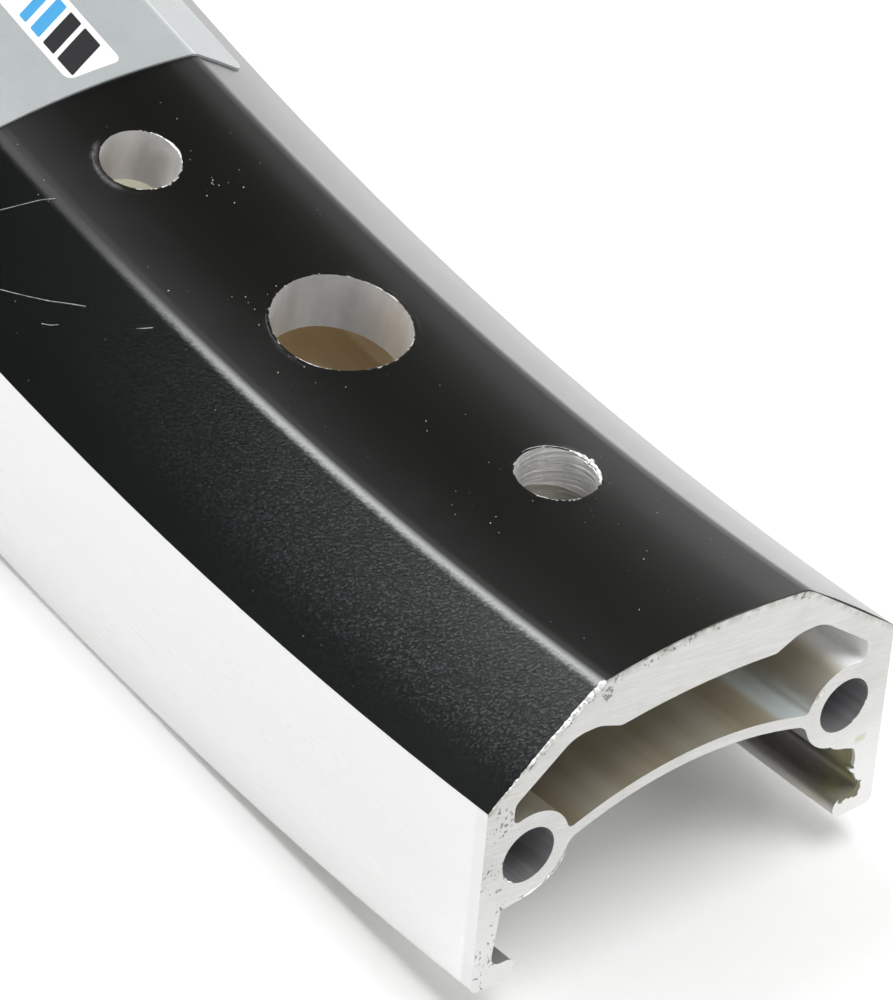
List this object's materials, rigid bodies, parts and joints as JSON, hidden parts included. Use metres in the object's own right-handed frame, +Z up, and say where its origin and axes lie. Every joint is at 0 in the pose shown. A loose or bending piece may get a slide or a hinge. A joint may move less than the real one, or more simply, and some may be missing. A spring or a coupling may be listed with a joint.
{
  "type": "bicycle rim section",
  "caption": "Sawn-off length of a double-walled bicycle rim with a hollow chamber, hooked tyre channel, staggered spoke holes and a valve hole.",
  "frame": {"origin": "on the floor, under the middle of the sample, midway between its two tyre edges", "axes": "+X along the rim towards the near sawn end, +Y across it, +Z up from the tyre edges towards the hub"},
  "size_m": [0.0703, 0.0292, 0.0217],
  "materials": {
    "rim": "satin black coat on the bed and shoulders, bare machined brake tracks, bare sawn ends and drilled holes",
    "label": "satin silver film"
  },
  "bodies": {
    "root": {"rim": "rim", "label": "label"}
  },
  "joints": []
}
